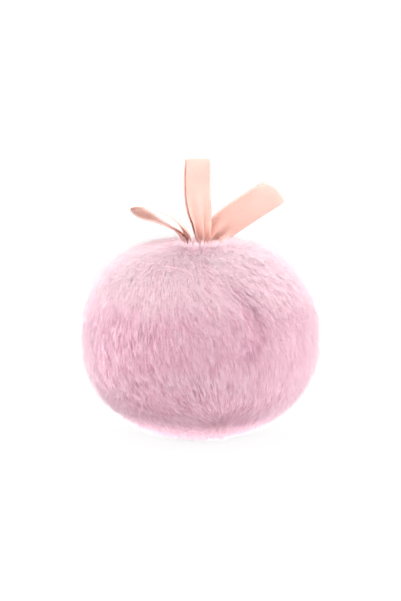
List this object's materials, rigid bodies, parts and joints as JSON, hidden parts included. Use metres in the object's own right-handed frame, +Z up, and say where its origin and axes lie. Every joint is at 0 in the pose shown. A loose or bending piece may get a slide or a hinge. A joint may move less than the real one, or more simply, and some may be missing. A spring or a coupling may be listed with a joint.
{
  "type": "powder puff",
  "caption": "Round plush powder puff, gathered at the top round the folded ends of satin ribbon loops that serve as its handle.",
  "frame": {"origin": "centre of the puff's flat foot, on the surface that it stands on", "axes": "+Z up through the gathered mouth, +X to the picture's right, the picture looks along +Y"},
  "size_m": [0.1, 0.096, 0.1182],
  "materials": {
    "plush": "matte",
    "backing_cloth": "matte",
    "filling": "matte",
    "thread": "matte",
    "satin_ribbon": "satin"
  },
  "bodies": {
    "puff": {"fur_pile": "plush", "cover_backing": "backing_cloth", "stuffing": "filling", "gather_thread": "thread", "ribbon_ends_left": "satin_ribbon", "ribbon_ends_centre": "satin_ribbon", "ribbon_ends_right": "satin_ribbon"},
    "loop_left": {"ribbon_loop_left": "satin_ribbon"},
    "loop_centre": {"ribbon_loop_centre": "satin_ribbon"},
    "loop_right": {"ribbon_loop_right": "satin_ribbon"}
  },
  "joints": [
    {"name": "left_loop_bend", "type": "hinge", "parent": "puff", "child": "loop_left", "pos_m": [-0.0048, 0, 0.07775], "axis": [0, 1, 0], "range_deg": [-15, 15], "stiffness_Nm_per_rad": 0.0004},
    {"name": "centre_loop_bend", "type": "hinge", "parent": "puff", "child": "loop_centre", "pos_m": [0.0016, -0.0036, 0.07775], "axis": [1, 0, 0], "range_deg": [-10, 35], "stiffness_Nm_per_rad": 0.0004},
    {"name": "right_loop_bend", "type": "hinge", "parent": "puff", "child": "loop_right", "pos_m": [0.0031, 0.0036, 0.07775], "axis": [1, 0, 0], "range_deg": [-15, 10], "stiffness_Nm_per_rad": 0.0004}
  ]
}
